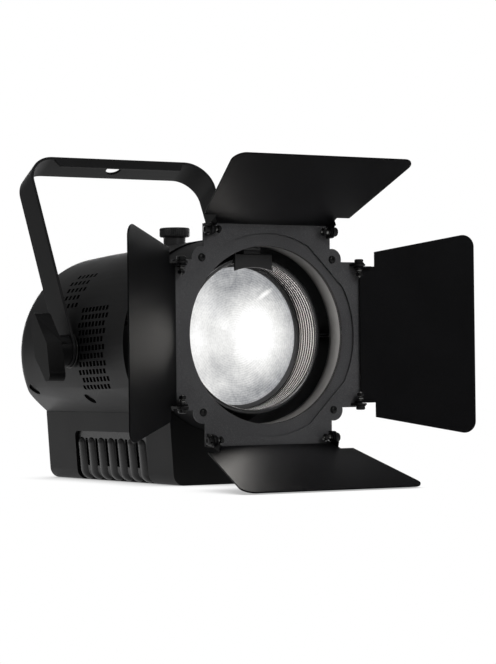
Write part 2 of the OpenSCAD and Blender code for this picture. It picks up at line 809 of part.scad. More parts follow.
// Flat-strip bracket, drawn upright about its pivot and then leaned back
module yoke() color([0.09, 0.09, 0.095]) {
  inner = leg_x;
  outer = leg_x + yoke_t;
  turn_x = inner - yoke_bend;
  turn_z = yoke_h - yoke_bend;
  flange_half = turn_x - 0.5;
  bar_top = yoke_h + yoke_t;
  translate([0, 0, pivot_z]) rotate([-yoke_lean, 0, 0]) difference() {
    union() {
      mirror_x() {
        translate([inner, -yoke_w/2, 0]) cube([yoke_t, yoke_w, turn_z]);
        along_x(inner) cylinder(r = yoke_w/2, h = yoke_t);
        translate([turn_x, yoke_w/2, turn_z]) rotate([90, 0, 0])
          rotate_extrude(angle = 90) translate([yoke_bend, 0]) square([yoke_t, yoke_w]);
      }
      translate([-turn_x, -yoke_w/2, yoke_h]) cube([2*turn_x, yoke_w, yoke_t]);
      slab_y(-yoke_w/2, yoke_t) polygon([
        [-flange_half, bar_top], [flange_half, bar_top], [flange_half - 7, bar_top - flange_h],
        [-flange_half + 7, bar_top - flange_h]]);
    }
    mirror_x() along_x(inner - cut) cylinder(r = spigot_r + fit, h = yoke_t + 2*cut);
    translate([0, 0, yoke_h - cut]) cylinder(r = clamp_hole_r, h = yoke_t + 2*cut);
  }
}

knob_x = leg_x + yoke_t + gap;
hub_len = 12;
hub_out_r = 16;

// Paddle knob: threaded shaft, round hub and a lozenge-shaped grip
module tilt_knob() color([0.07, 0.07, 0.075]) translate([0, 0, pivot_z]) {
  tip_r = 7;
  waist = 16;
  along_x(barrel_r - 9) cylinder(r = clamp_r, h = knob_x - barrel_r + 9 + hub_len/2);
  along_x(knob_x) cylinder(r = hub_out_r, h = hub_len);
  rotate([-yoke_lean, 0, 0]) translate([knob_x + hub_len - cut, 0, 0]) rotate([90, 0, 90])
    linear_extrude(paddle_t + cut) {
      top = paddle_up - tip_r;
      low = paddle_down - tip_r;
      polygon([[-tip_r, -low], [tip_r, -low], [waist, 0], [tip_r, top], [-tip_r, top], [-waist, 0]]);
      translate([0, top]) circle(tip_r);
      translate([0, -low]) circle(tip_r);
    }
}

module tilt_knob_right() tilt_knob();
module tilt_knob_left() mirror([1, 0, 0]) tilt_knob();

// Barn doors

lug_x = 70;
lug_t = 2;
lug_r = 6.5;
ear_gap = 0.4;
notch_half = 74;
flat_out = 97.6;

// Lobed square outline of the frame, with a round opening that has four flats
module frame_outline() {
  difference() {
    union() {
      square([2*frame_half, 2*notch_half], center = true);
      square([2*notch_half, 2*frame_half], center = true);
      for (x = [-1, 1], y = [-1, 1]) translate([x, y]*screw_half) circle(lobe_r);
    }
    intersection() {
      circle(frame_open_r);
      rotate(45) square(2*flat_out, center = true);
    }
    for (x = [-1, 1], y = [-1, 1]) translate([x, y]*screw_half) circle(2 + fit);
  }
}

// Two lugs at the ends of one side, bent forward, with holes for the hinge bolts
module hinge_lugs() {
  mirror_x() translate([lug_x, 0, 0]) difference() {
    union() {
      along_x(0) cylinder(r = lug_r, h = lug_t);
      translate([0, 0, -lug_r]) cube([lug_t, hinge_fwd + frame_t, 2*lug_r]);
    }
    along_x(-cut) cylinder(r = bolt_r + fit, h = lug_t + 2*cut);
  }
}

module barn_frame() color([0.16, 0.16, 0.165]) {
  slab_y(frame_y, frame_t) translate([0, axis_h]) frame_outline();
  for (side = [0:3]) at_side(side) hinge_lugs();
}

module frame_retainer() color([0.14, 0.14, 0.145]) {
  boss_r = 3.4;
  slab_y(retainer_y, retainer_t) translate([0, axis_h]) difference() {
    union() {
      circle(frame_half - 0.6);
      for (x = [-1, 1], y = [-1, 1]) translate([x, y]*screw_half) circle(lobe_r - 3);
    }
    circle(ring_open_r + collar_t + 1.5);
    for (x = [-1, 1], y = [-1, 1]) translate([x, y]*screw_half) circle(2 + fit);
  }
  for (x = [-1, 1], y = [-1, 1])
    along_y(frame_y + frame_t, x*screw_half, axis_h + y*screw_half) difference() {
      cylinder(r = boss_r, h = retainer_y - frame_y - frame_t);
      translate([0, 0, -cut]) cylinder(r = 2 + fit, h = 20);
    }
}

// Pan-head screws with a cross-shaped recess
module frame_screws() color([0.35, 0.35, 0.36])
  for (x = [-1, 1], y = [-1, 1])
    along_y(frame_y - 2, x*screw_half, axis_h + y*screw_half) difference() {
      union() {
        rotate_extrude() polygon([[0, 0], [2.4, 0], [4, 1.2], [4, 2], [2, 2],
                                  [2, retainer_y + retainer_t - frame_y + 2],
                                  [0, retainer_y + retainer_t - frame_y + 2]]);
      }
      for (angle = [0, 90]) rotate(angle) translate([-2, -0.4, -cut]) cube([4, 0.8, 2]);
    }

door_ear_x = lug_x - ear_gap - lug_t;
washer_r = 4.2;

// Bolts of one side's two hinges: head outside the lug, washers, spring and nut inside the ear
module hinge_bolts(side) color([0.75, 0.74, 0.7]) at_side(side) mirror_x() {
  in_x = door_ear_x - ear_gap;
  along_x(in_x - 9) cylinder(r = bolt_r, h = lug_x + lug_t - in_x + 9);
  along_x(lug_x + lug_t) cylinder(r = 3.6, h = 2.4);
  along_x(in_x - 1) cylinder(r = washer_r, h = 1);
  for (i = [0:1]) along_x(in_x - 2.4 - 1.5*i) cylinder(r = 3.2, h = 0.9);
  along_x(in_x - 7.6) cylinder(r = 3.9, h = 3.2, $fn = 6);
}

module hinge_bolts_top() hinge_bolts(0);
module hinge_bolts_right() hinge_bolts(1);
module hinge_bolts_bottom() hinge_bolts(2);
module hinge_bolts_left() hinge_bolts(3);

shoulder = 17.5;
door_off = 6;
neck_start = 2;

// Outline of one leaf: X along the hinge, Y away from it
module leaf_outline() {
  slant = atan((door_half_out - door_half_in)/(door_len - shoulder));
  corner_y = door_len - door_corner;
  corner_x = door_half_in + ((corner_y - shoulder)*sin(slant) - door_corner)/cos(slant);
  neck = door_ear_x + lug_t;
  polygon([[-neck, neck_start], [neck, neck_start], [neck, shoulder + cut], [-neck, shoulder + cut]]);
  polygon([[-door_half_in, shoulder], [door_half_in, shoulder],
    [corner_x + door_corner*cos(slant), corner_y - door_corner*sin(slant)], [corner_x, door_len],
    [-corner_x, door_len],
    [-corner_x - door_corner*cos(slant), corner_y - door_corner*sin(slant)]]);
  for (x = [-corner_x, corner_x]) translate([x, corner_y]) circle(door_corner);
}

// Leaf with two ears that turn on the hinge bolts, opened by an angle from straight ahead
module door(side, angle) color([0.05, 0.05, 0.055]) at_side(side) rotate([-angle, 0, 0]) {
  ear_len = 13;
  translate([0, 0, door_off - door_t/2]) mirror([0, 1, 0]) linear_extrude(door_t) leaf_outline();
  mirror_x() difference() {
    union() {
      along_x(door_ear_x) cylinder(r = lug_r - 1, h = lug_t);
      translate([door_ear_x, -ear_len, 0]) cube([lug_t, ear_len, door_off + door_t/2]);
    }
    along_x(door_ear_x - cut) cylinder(r = bolt_r + fit, h = lug_t + 2*cut);
  }
}

module door_top() door(0, open_top);
module door_right() door(1, open_right);
module door_bottom() door(2, open_bottom);
module door_left() door(3, open_left);

top_cover();
base_tray();
base_plate();
louvre_left();
louvre_right();
snout();
front_ring();
bulkhead();
guide_rods();
led_board();
heat_sink();
fan_frame();
fan_rotor();
power_supply();
driver_board();
rear_panel();
rear_screws();
display();
button_1();
button_2();
button_3();
button_4();
power_in();
power_out();
data_in();
data_out();
fuse_holder();
safety_eye();
pivot_bushes();
flank_screws();
lens_tube();
fresnel_lens();
lens_ring();
arm_block();
zoom_arm();
zoom_stud();
zoom_knob();
yoke();
tilt_knob_left();
tilt_knob_right();
barn_frame();
frame_retainer();
frame_screws();
hinge_bolts_top();
hinge_bolts_right();
hinge_bolts_bottom();
hinge_bolts_left();
door_top();
door_right();
door_bottom();
door_left();
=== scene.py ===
import json
import math

import bmesh
import bpy
from mathutils import Matrix, Vector


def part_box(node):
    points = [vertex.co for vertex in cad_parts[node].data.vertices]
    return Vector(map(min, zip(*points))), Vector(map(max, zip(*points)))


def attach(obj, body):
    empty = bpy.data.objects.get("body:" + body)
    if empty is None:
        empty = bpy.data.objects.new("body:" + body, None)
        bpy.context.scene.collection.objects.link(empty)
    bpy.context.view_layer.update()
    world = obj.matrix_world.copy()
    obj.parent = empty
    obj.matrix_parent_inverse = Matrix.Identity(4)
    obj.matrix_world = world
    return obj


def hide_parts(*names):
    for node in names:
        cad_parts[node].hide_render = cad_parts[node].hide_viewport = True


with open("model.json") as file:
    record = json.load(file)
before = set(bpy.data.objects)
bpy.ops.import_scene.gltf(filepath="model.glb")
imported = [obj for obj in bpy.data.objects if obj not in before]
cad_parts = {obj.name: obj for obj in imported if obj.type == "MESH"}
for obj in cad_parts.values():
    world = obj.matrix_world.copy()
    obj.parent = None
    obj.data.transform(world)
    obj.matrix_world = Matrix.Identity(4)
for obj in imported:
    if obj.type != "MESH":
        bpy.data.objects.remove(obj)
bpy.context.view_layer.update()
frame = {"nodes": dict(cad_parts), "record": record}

body_of = {node: body for body, nodes in frame["record"]["behaviour"]["bodies"].items() for node in nodes}

# Base tray: a cast aluminium box under the barrel, with a window for a louvre in each side.
# It has black powder coat over the metal, with a fine orange-peel grain and softened casting edges.
coat_grain = bpy.data.node_groups.new("coat_grain", "ShaderNodeTree")
for label, kind, start in (
    ("Colour", "NodeSocketColor", (0.01, 0.01, 0.011, 1)),
    ("Fleck", "NodeSocketColor", (0.03, 0.03, 0.033, 1)),
    ("Grain", "NodeSocketFloat", 1400.0),
    ("Fleck share", "NodeSocketFloat", 0.3),
    ("Roughness", "NodeSocketFloat", 0.5),
    ("Swing", "NodeSocketFloat", 0.1),
):
    coat_grain.interface.new_socket(label, in_out="INPUT", socket_type=kind).default_value = start
for label, kind in (
    ("Color", "NodeSocketColor"),
    ("Roughness", "NodeSocketFloat"),
    ("Height", "NodeSocketFloat"),
):
    coat_grain.interface.new_socket(label, in_out="OUTPUT", socket_type=kind)


def place_nodes(tree, wanted):
    """Adds shader nodes from {name: (type, {property or input: value})} and returns them by name."""
    made = {}
    for label, (kind, values) in wanted.items():
        n = tree.nodes.new(kind)
        n.name = label
        for key, value in values.items():
            if isinstance(key, str) and hasattr(n, key):
                setattr(n, key, value)
            else:
                n.inputs[key].default_value = value
        made[label] = n
    return made


def wire(tree, *pairs):
    """Links outputs to inputs, each pair given as (node, output, node, input)."""
    for a, out, b, into in pairs:
        tree.links.new(a.outputs[out], b.inputs[into])


g = place_nodes(coat_grain, {
    "in": ("NodeGroupInput", {}),
    "out": ("NodeGroupOutput", {}),
    "spot": ("ShaderNodeTexCoord", {}),
    "fine": ("ShaderNodeTexNoise", {"Detail": 2.0, "Roughness": 0.6}),
    "cloud": ("ShaderNodeTexNoise", {"Scale": 17.0, "Detail": 3.0, "Roughness": 0.55}),
    "pick": ("ShaderNodeMapRange", {"From Min": 0.5, "From Max": 0.72}),
    "share": ("ShaderNodeMath", {"operation": "MULTIPLY"}),
    "mix": ("ShaderNodeMix", {"data_type": "RGBA"}),
    "tone": ("ShaderNodeMapRange", {"From Min": 0.3, "From Max": 0.7, "To Min": 0.82, "To Max": 1.15}),
    "shade": ("ShaderNodeVectorMath", {"operation": "SCALE"}),
    "centre": ("ShaderNodeMath", {"operation": "SUBTRACT", 1: 0.5}),
    "swing": ("ShaderNodeMath", {"operation": "MULTIPLY_ADD"}),
})
wire(coat_grain,
     (g["spot"], "Object", g["fine"], "Vector"),
     (g["spot"], "Object", g["cloud"], "Vector"),
     (g["in"], "Grain", g["fine"], "Scale"),
     (g["fine"], 0, g["pick"], "Value"),
     (g["pick"], 0, g["share"], 0),
     (g["in"], "Fleck share", g["share"], 1),
     (g["share"], 0, g["mix"], 0),
     (g["in"], "Colour", g["mix"], 6),
     (g["in"], "Fleck", g["mix"], 7),
     (g["cloud"], 0, g["tone"], "Value"),
     (g["mix"], 2, g["shade"], 0),
     (g["tone"], 0, g["shade"], "Scale"),
     (g["shade"], 0, g["out"], "Color"),
     (g["cloud"], 0, g["centre"], 0),
     (g["centre"], 0, g["swing"], 0),
     (g["in"], "Swing", g["swing"], 1),
     (g["in"], "Roughness", g["swing"], 2),
     (g["swing"], 0, g["out"], "Roughness"),
     (g["fine"], 0, g["out"], "Height"))
grain_height = 0.0003


def grained(name, colour, fleck, grain, share, rough, swing, bump, gloss, metal=0.0):
    """A finish with the coat's grain; colour and fleck are linear, share is how much of it is fleck."""
    made = bpy.data.materials.new(name)
    made.use_nodes = True
    tree = made.node_tree
    skin = tree.nodes["Principled BSDF"]
    skin.inputs["Metallic"].default_value = metal
    skin.inputs["Specular IOR Level"].default_value = gloss
    n = place_nodes(tree, {
        "grain": ("ShaderNodeGroup", {"node_tree": coat_grain}),
        "bump": ("ShaderNodeBump", {"Strength": bump, "Distance": grain_height}),
    })
    for label, value in (
        ("Colour", (*colour, 1)),
        ("Fleck", (*fleck, 1)),
        ("Grain", grain),
        ("Fleck share", share),
        ("Roughness", rough),
        ("Swing", swing),
    ):
        n["grain"].inputs[label].default_value = value
    wire(tree,
         (n["grain"], "Color", skin, "Base Color"),
         (n["grain"], "Roughness", skin, "Roughness"),
         (n["grain"], "Height", n["bump"], "Height"),
         (n["bump"], "Normal", skin, "Normal"))
    return made


merge_gap = 2e-6
flat_turn, corner_turn = math.radians(0.4), math.radians(35)
large_face_weight = 100


def eased(node, finish, width, segments=2, others=(), pick=None, split=None, nudge=None):
    """A merged copy of a CAD node with rounded edges, which stands for it.

    pick gives each face one of the finishes, split cuts the faces at a depth, and nudge moves corners.
    """
    bm = bmesh.new()
    bm.from_mesh(frame["nodes"][node].data)
    bmesh.ops.remove_doubles(bm, verts=bm.verts, dist=merge_gap)
    bmesh.ops.dissolve_limit(bm, angle_limit=flat_turn, verts=bm.verts, edges=bm.edges)
    for v in bm.verts if nudge else ():
        v.co += nudge(v.co)
    if split is not None:
        whole = list(bm.verts) + list(bm.edges) + list(bm.faces)
        bmesh.ops.bisect_plane(bm, geom=whole, plane_co=(0, split, 0), plane_no=(0, 1, 0))
    for f in bm.faces:
        f.material_index = pick(f.calc_center_median(), f.normal) if pick else 0
    mesh = bpy.data.meshes.new(node + "_eased")
    bm.to_mesh(mesh)
    bm.free()
    for each in (finish, *others):
        mesh.materials.append(each)
    mesh.shade_smooth()
    made = bpy.data.objects.new(node + "_eased", mesh)
    bpy.context.scene.collection.objects.link(made)
    edge = made.modifiers.new("rounded_edges", "BEVEL")
    edge.width = width
    edge.segments = segments
    edge.limit_method = "ANGLE"
    edge.angle_limit = corner_turn
    flat = made.modifiers.new("flat_faces", "WEIGHTED_NORMAL")
    flat.weight = large_face_weight
    flat.keep_sharp = True
    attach(made, body_of[node])
    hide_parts(node)


cast_coat = grained("black_cast_coat", (0.0085, 0.0085, 0.009), (0.016, 0.016, 0.017),
                    grain=1100.0, share=0.5, rough=0.46, swing=0.12, bump=0.10, gloss=0.15)
eased("base_tray", cast_coat, width=0.0009, segments=3)

# Base plate: folded sheet steel that closes the tray from below, with a duller coat than the castings.
# Its flat underside is what the lamp stands on.
plate_coat = grained("black_plate_coat", (0.008, 0.008, 0.0085), (0.015, 0.015, 0.016),
                     grain=900.0, share=0.4, rough=0.6, swing=0.12, bump=0.14, gloss=0.15)
eased("base_plate", plate_coat, width=0.0006)

# Louvres: moulded inserts behind the tray's side windows, with seven half-round ribs each.
# The ribs end in a round nose at the top and curl under the tray's lower edge. Air passes between them.
louvre_black = grained("louvre_moulding", (0.009, 0.009, 0.0095), (0.017, 0.017, 0.018),
                       grain=1300.0, share=0.4, rough=0.27, swing=0.08, bump=0.07, gloss=0.32)
tray_lean = math.atan(5 / 74)
tray_foot_x, tray_foot_r = 0.052783, 0.012
straight_down, bend_steps = math.radians(90), 8
rib_first, rib_step, rib_count = -0.0707, 0.0228, 7
rib_half, rib_deep, rib_inset = 0.0083, 0.0046, 0.0051
rib_top_z, rib_sides, rib_curl, rib_curl_steps = 0.0405, 20, math.radians(74), 8
nose_high, nose_rings, nose_tip = 0.0065, 5, 0.02
plate_from, plate_to, plate_top = -0.0888, 0.0788, 0.0555
plate_inset, plate_foot, plate_thick = 0.0035, 0.003, 0.0018
slot_half, slot_low, slot_high, strip_gap = 0.0026, 0.016, 0.0455, 1e-6
slant, slant_from_z = 0.06, 0.025
rib_slant = Matrix(((1, 0, 0, 0), (0, 1, slant, -slant * slant_from_z), (0, 0, 1, 0), (0, 0, 0, 1)))


def put(name, bm, body, finishes, node, sharp=35):
    """Makes a bmesh an object that rides on a body and stands for a CAD node."""
    mesh = bpy.data.meshes.new(name)
    bm.to_mesh(mesh)
    bm.free()
    for finish in finishes:
        mesh.materials.append(finish)
    mesh.shade_smooth()
    mesh.set_sharp_from_angle(angle=math.radians(sharp))
    made = bpy.data.objects.new(name, mesh)
    bpy.context.scene.collection.objects.link(made)
    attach(made, body)
    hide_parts(node)


def verts_of(geom):
    """The vertices among what an operator gives back."""
    return [part for part in geom if isinstance(part, bmesh.types.BMVert)]


def edges_of(geom):
    """The edges among what an operator gives back."""
    return [part for part in geom if isinstance(part, bmesh.types.BMEdge)]


def grow(bm, rim):
    """Extrudes a rim in place and gives back the new ring of vertices and its edges."""
    grown = bmesh.ops.extrude_edge_only(bm, edges=rim)["geom"]
    ring = verts_of(grown)
    return ring, [e for e in edges_of(grown) if all(v in ring for v in e.verts)]


def side_point(inset, turn):
    """A point of the tray's rounded lower edge, drawn in by inset; turn 0 is level, 90 is straight down."""
    r = tray_foot_r - inset
    return tray_foot_x + r * math.cos(turn), tray_foot_r - r * math.sin(turn)


def louvre_plate():
    """The right louvre's back plate: a bent strip, drawn along the tray, with slots between the ribs."""
    bm = bmesh.new()
    middles = [rib_first + (i + 0.5) * rib_step for i in range(rib_count - 1)]
    slots = [(y - slot_half, y + slot_half) for y in middles]
    stations = sorted([plate_from, plate_to] + [y for slot in slots for y in slot])
    line = [(tray_foot_x - plate_foot, plate_inset)]
    for k in range(bend_steps + 1):
        line.append(side_point(plate_inset, straight_down + (tray_lean - straight_down) * k / bend_steps))
    side_x, side_z = line[-1]
    for z in (slot_low, slot_high, plate_top):
        line.append((side_x + (z - side_z) * math.tan(tray_lean), z))
    row = [bm.verts.new((x, stations[0], z)) for x, z in line]
    edges = [bm.edges.new(pair) for pair in zip(row, row[1:])]
    for last, y in zip(stations, stations[1:]):
        grown, edges = grow(bm, edges)
        bmesh.ops.translate(bm, verts=grown, vec=(0, y - last, 0))
    gone = []
    for f in bm.faces:
        at = f.calc_center_median()
        if slot_low < at.z < slot_high and any(a < at.y < b for a, b in slots):
            gone.append(f)
    bmesh.ops.delete(bm, geom=gone, context="FACES")
    bmesh.ops.remove_doubles(bm, verts=bm.verts, dist=strip_gap)
    bmesh.ops.recalc_face_normals(bm, faces=bm.faces)
    if sum(f.normal.x * f.calc_area() for f in bm.faces) < 0:
        bmesh.ops.reverse_faces(bm, faces=bm.faces)
    bmesh.ops.solidify(bm, geom=bm.faces[:], thickness=plate_thick)
    return bm


def add_rib(bm, y):
    """A half-round rib: an oval ring, spun around the lower edge and drawn up the wall to a nose."""
    up = Vector((math.sin(tray_lean), 0, math.cos(tray_lean)))
    out_way = Vector((math.cos(tray_lean), 0, -math.sin(tray_lean)))
    foot_x, foot_z = side_point(rib_inset, tray_lean)
    oval = Matrix.Translation((foot_x, y, foot_z)) @ Matrix((
        (out_way.x * rib_deep, 0, up.x, 0),
        (0, rib_half, 0, 0),
        (out_way.z * rib_deep, 0, up.z, 0),
        (0, 0, 0, 1)))
    ring = bmesh.ops.create_circle(bm, cap_ends=False, radius=1.0, segments=rib_sides, matrix=oval)["verts"]
    rim = list({e for v in ring for e in v.link_edges})
    low = bmesh.ops.spin(bm, geom=ring + rim, cent=(tray_foot_x, y, tray_foot_r), axis=(0, 1, 0),
                         dvec=(0, 0, 0), angle=rib_curl, steps=rib_curl_steps, use_merge=False,
                         use_duplicate=False)["geom_last"]
    bmesh.ops.edgeloop_fill(bm, edges=edges_of(low))
    height = (rib_top_z - foot_z) / up.z
    ring, rim = grow(bm, rim)
    bmesh.ops.translate(bm, verts=ring, vec=up * height)
    mid = Vector((foot_x, y, foot_z)) + up * height
    for k in range(nose_rings):
        a, b = straight_down * k / nose_rings, straight_down * (k + 1) / nose_rings
        size = max(math.cos(b), nose_tip) / math.cos(a)
        rise = up * nose_high * (math.sin(b) - math.sin(a))
        ring, rim = grow(bm, rim)
        bmesh.ops.scale(bm, vec=(size, size, size), verts=ring, space=Matrix.Translation(-mid))
        bmesh.ops.translate(bm, verts=ring, vec=rise)
        mid = mid + rise
    bmesh.ops.edgeloop_fill(bm, edges=rim)


for side, node in ((-1, "louvre_left"), (1, "louvre_right")):
    bm = louvre_plate()
    for i in range(rib_count):
        add_rib(bm, rib_first + i * rib_step)
    bmesh.ops.transform(bm, matrix=rib_slant, verts=bm.verts)
    if side < 0:
        bmesh.ops.scale(bm, vec=(-1, 1, 1), verts=bm.verts)
        bmesh.ops.reverse_faces(bm, faces=bm.faces)
    put(node + "_ribbed", bm, "housing", [louvre_black], node)

# Top cover: the round cast barrel with its sloped flanks, vent slots and the zoom knob's flat.
# It is one casting in black powder coat. The slots' walls are painted near-black as painted shade, for the
# dark inside that shows through.
painted_shade_black = grained("painted_shade_near_black", (0.002, 0.002, 0.0021), (0.004, 0.004, 0.0042),
                    grain=1400.0, share=0.3, rough=0.7, swing=0.1, bump=0.05, gloss=0.02)
barrel_front, barrel_dip = Vector((0, -0.116, 0.144)), math.radians(1.6)
barrel_axis = Vector((0, math.cos(barrel_dip), -math.sin(barrel_dip)))
barrel_inner_r, barrel_outer_r = 0.1062, 0.1088
wall_lean = 0.6
bm = bmesh.new()
bm.from_mesh(frame["nodes"]["top_cover"].data)
bmesh.ops.remove_doubles(bm, verts=bm.verts, dist=merge_gap)
# Faces of the slots' walls get the near-black painted shade.
for f in bm.faces:
    reach = f.calc_center_median() - barrel_front
    away = reach - barrel_axis * reach.dot(barrel_axis)
    slot_wall = abs(f.normal.dot(away.normalized())) < wall_lean
    f.material_index = int(slot_wall and barrel_inner_r < away.length < barrel_outer_r)
put("top_cover_cast", bm, "housing", [cast_coat, painted_shade_black], "top_cover", sharp=30)

# Power supply and driver board inside the tray: a folded zinc-plated case and a green circuit board.
# They sit inside the housing, out of sight.
supply_zinc = grained("zinc_plate", (0.38, 0.39, 0.41), (0.55, 0.56, 0.58),
                      grain=160.0, share=0.6, rough=0.42, swing=0.25, bump=0.04, gloss=0.5, metal=1.0)
eased("power_supply", supply_zinc, width=0.0008)
board_green = grained("circuit_board", (0.01, 0.075, 0.03), (0.02, 0.13, 0.05),
                      grain=500.0, share=0.6, rough=0.42, swing=0.2, bump=0.05, gloss=0.5)


def dress(node, finish):
    """Gives a CAD node a finish."""
    for s in frame["nodes"][node].material_slots:
        s.material = finish


dress("driver_board", board_green)

# Light engine: an aluminium bulkhead with steel guide rods, a white emitter board, a heat sink and a fan.
# The bulkhead is fixed in the barrel, and the rest stands on it in a row.
sheet_aluminium = grained("sheet_aluminium", (0.5, 0.51, 0.52), (0.62, 0.63, 0.64),
                          grain=260.0, share=0.5, rough=0.36, swing=0.2, bump=0.04, gloss=0.5, metal=1.0)
dress("bulkhead", sheet_aluminium)
dress("heat_sink", sheet_aluminium)
rod_steel = grained("ground_steel", (0.55, 0.55, 0.56), (0.68, 0.68, 0.69),
                    grain=700.0, share=0.4, rough=0.22, swing=0.1, bump=0.02, gloss=0.5, metal=1.0)
dress("guide_rods", rod_steel)
board_white = grained("white_board", (0.72, 0.72, 0.69), (0.8, 0.8, 0.77),
                      grain=500.0, share=0.5, rough=0.4, swing=0.1, bump=0.03, gloss=0.5)
dress("led_board", board_white)
fan_black = grained("fan_moulding", (0.012, 0.012, 0.013), (0.02, 0.02, 0.021),
                    grain=900.0, share=0.4, rough=0.45, swing=0.1, bump=0.05, gloss=0.4)
dress("fan_frame", fan_black)
dress("fan_rotor", fan_black)

# Snout and front ring: a rolled sheet tube and the turned ring that carries the barn-door frame.
# The ring's flange has a fine dark grey texture and its bore is glossier. The front of its bore, at the
# mouth, is painted near-black as painted shade of the gap to the frame.
ring_coat = grained("frame_coat", (0.042, 0.042, 0.044), (0.12, 0.12, 0.127),
                    grain=1500.0, share=0.55, rough=0.5, swing=0.1, bump=0.16, gloss=0.2)
snout_coat = grained("snout_coat", (0.009, 0.009, 0.0095), (0.02, 0.02, 0.021),
                     grain=1400.0, share=0.5, rough=0.5, swing=0.1, bump=0.12, gloss=0.12)
bore_black = grained("collar_bore", (0.004, 0.004, 0.0041), (0.008, 0.008, 0.0081),
                     grain=1400.0, share=0.4, rough=0.33, swing=0.08, bump=0.08, gloss=0.95)
lens_z, collar_r, mouth_deep, facing_front = 0.152, 0.0905, 0.004, -0.9
mouth_y = min(v.co.y for v in frame["nodes"]["front_ring"].data.vertices) + mouth_deep


def ring_face(at, way):
    """0 the flange, 1 the collar's bore, 2 the painted shade at the edge of its mouth."""
    if way.y < facing_front or math.hypot(at.x, at.z - lens_z) > collar_r:
        return 0
    return 2 if at.y < mouth_y else 1


eased("snout", snout_coat, width=0.0006)
# The mouth's edge gets the near-black painted shade.
eased("front_ring", ring_coat, width=0.0007, segments=3, others=(bore_black, painted_shade_black), pick=ring_face,
      split=mouth_y)

# Lens tube: a black moulding with anti-glare ribs in its bore, a lip that holds the lens, and two ears.
# It slides on the guide rods by its ears. A ring keeps the lens in its seat, and the arm's block is on top.
tube_black = grained("ribbed_tube", (0.010, 0.010, 0.0105), (0.018, 0.018, 0.019),
                     grain=1200.0, share=0.4, rough=0.26, swing=0.08, bump=0.05, gloss=0.5)
# The ribs' crests are painted lighter as a painted highlight, and the grooves between them darker as painted
# shade.
rib_crest_painted_highlight = grained("rib_crest_painted_highlight", (0.028, 0.028, 0.0287), (0.038, 0.038, 0.039),
                    grain=1200.0, share=0.3, rough=0.42, swing=0.06, bump=0.01, gloss=0.5)
groove_painted_shade = grained("tube_groove_painted_shade", (0.002, 0.002, 0.0021), (0.004, 0.004, 0.0042),
                      grain=1200.0, share=0.3, rough=0.6, swing=0.1, bump=0.05, gloss=0.04)
lens_ring_coat = grained("lens_ring_coat", (0.07, 0.07, 0.072), (0.12, 0.12, 0.124),
                         grain=1200.0, share=0.4, rough=0.4, swing=0.08, bump=0.05, gloss=0.3)
collar_black = grained("collar_black", (0.006, 0.006, 0.0063), (0.014, 0.014, 0.0145),
                       grain=1400.0, share=0.4, rough=0.36, swing=0.08, bump=0.08, gloss=0.35)
tube_front = Vector((0, -0.1914, lens_z))
tube_r, tube_long, tube_chamfer, mouth_bevel, tube_steps = 0.0800, 0.0420, 0.0004, 0.0006, 128
groove_limit_r, groove_r, crest_limit_r, crest_edge_r, crest_top_r = 0.0756, 0.0755, 0.0752, 0.0750, 0.0749
ribs_from, ribs_to, ribs_in_bore, bore_rib_pitch = 0.0008, 0.0314, 7, 0.00435
rib_line = ((0, groove_r), (0.0022, groove_r), (0.0024, crest_edge_r), (0.0026, crest_top_r),
            (0.0036, crest_top_r), (0.0038, crest_edge_r), (0.0040, groove_r))
seat_from, seat_to, seat_r, lip_r = 0.0319, 0.0400, 0.0748, 0.0706
ear_from, ear_to, ear_low, ear_high, ear_round = 0.0785, 0.0955, 0.145, 0.159, 0.0008
ear_front, tube_back = -0.1574, -0.1494
rail_half, rail_low, rail_high, rail_round = 0.010, 0.2285, 0.2380, 0.0006
lengthwise, sideways, upwards, seam_gap = (0, 1, 0), (1, 0, 0), (0, 0, 1), 2e-7


def turned(bm, line, cent, axis, across, steps):
    """Spins a line of (along, radius) points about an axis through cent into a turned shape."""
    axis, across = Vector(axis).normalized(), Vector(across).normalized()
    row = [bm.verts.new(Vector(cent) + axis * a + across * r) for a, r in line]
    edges = [bm.edges.new(pair) for pair in zip(row, row[1:])]
    bmesh.ops.spin(bm, geom=row + edges, cent=cent, axis=axis, dvec=(0, 0, 0), angle=math.tau,
                   steps=steps, use_merge=True, use_duplicate=False)


def closed(bm):
    """Merges the seams of turned shapes and turns their faces outwards."""
    bmesh.ops.remove_doubles(bm, verts=bm.verts, dist=seam_gap)
    bmesh.ops.recalc_face_normals(bm, faces=bm.faces)
    return bm


def block(bm, low, high, round_by):
    """A block between two corners with rounded edges."""
    low, high = Vector(low), Vector(high)
    place = Matrix.Translation((low + high) / 2) @ Matrix.Diagonal((*(high - low), 1))
    made = bmesh.ops.create_cube(bm, size=1.0, matrix=place)
    edges = list({e for v in made["verts"] for e in v.link_edges})
    bmesh.ops.bevel(bm, geom=edges, offset=round_by, segments=3, profile=0.5, affect="EDGES", material=-1)


bm = bmesh.new()
line = [(tube_chamfer, tube_r), (0, tube_r - tube_chamfer),
        (0, groove_r + mouth_bevel), (mouth_bevel, groove_r)]
for i in range(ribs_in_bore):
    line += [(ribs_from + i * bore_rib_pitch + along, r) for along, r in rib_line]
line += [(ribs_to, groove_r), (seat_from, groove_r), (seat_from, seat_r), (seat_to, seat_r), (seat_to, lip_r),
         (tube_long, lip_r), (tube_long, tube_r - tube_chamfer), (tube_long - tube_chamfer, tube_r),
         (tube_chamfer, tube_r)]
turned(bm, line, tube_front, lengthwise, sideways, tube_steps)
closed(bm)
for way in (-1, 1):
    ear_left, ear_right = sorted((way * ear_from, way * ear_to))
    block(bm, (ear_left, ear_front, ear_low), (ear_right, tube_back, ear_high), ear_round)
block(bm, (-rail_half, tube_front.y, rail_low), (rail_half, tube_back, rail_high), rail_round)
